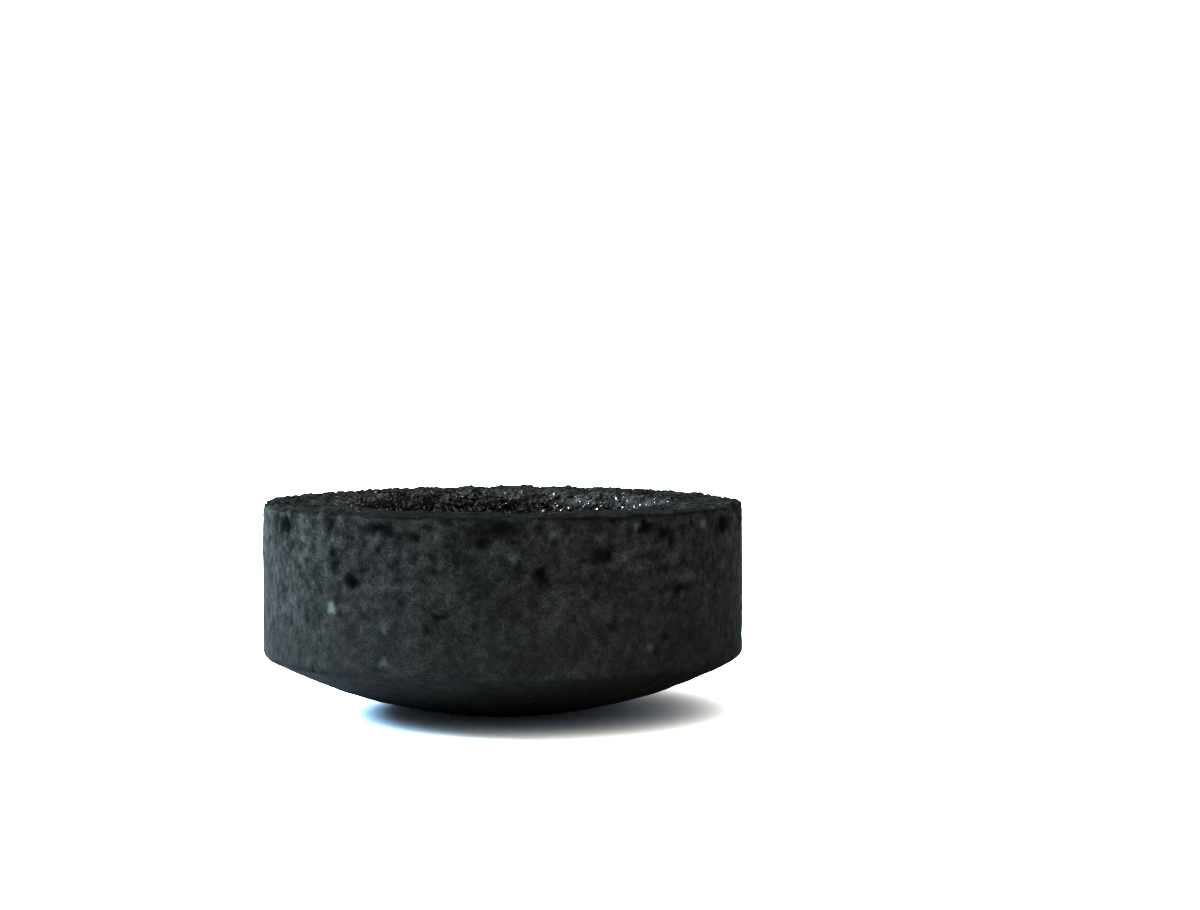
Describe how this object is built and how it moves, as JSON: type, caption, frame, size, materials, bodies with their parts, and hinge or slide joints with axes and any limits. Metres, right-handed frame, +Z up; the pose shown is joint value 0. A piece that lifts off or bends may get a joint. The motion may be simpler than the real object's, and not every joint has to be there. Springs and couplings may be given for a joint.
{
  "type": "charcoal tablet",
  "caption": "Round pressed charcoal tablet with a straight wall, a domed underside and a shallow round dish in its top that holds incense; matte, gritty and crumbly at the edges.",
  "frame": {"origin": "middle of the small flat spot under the dome, which the tablet rests on", "axes": "+Z up along the tablet's axis, out of the dish; X and Y lie in the resting surface, with -Y towards the picture's camera"},
  "size_m": [0.04, 0.04, 0.0176],
  "materials": {
    "charcoal": "matte"
  },
  "bodies": {
    "root": {"charcoal_tablet": "charcoal"}
  },
  "joints": []
}
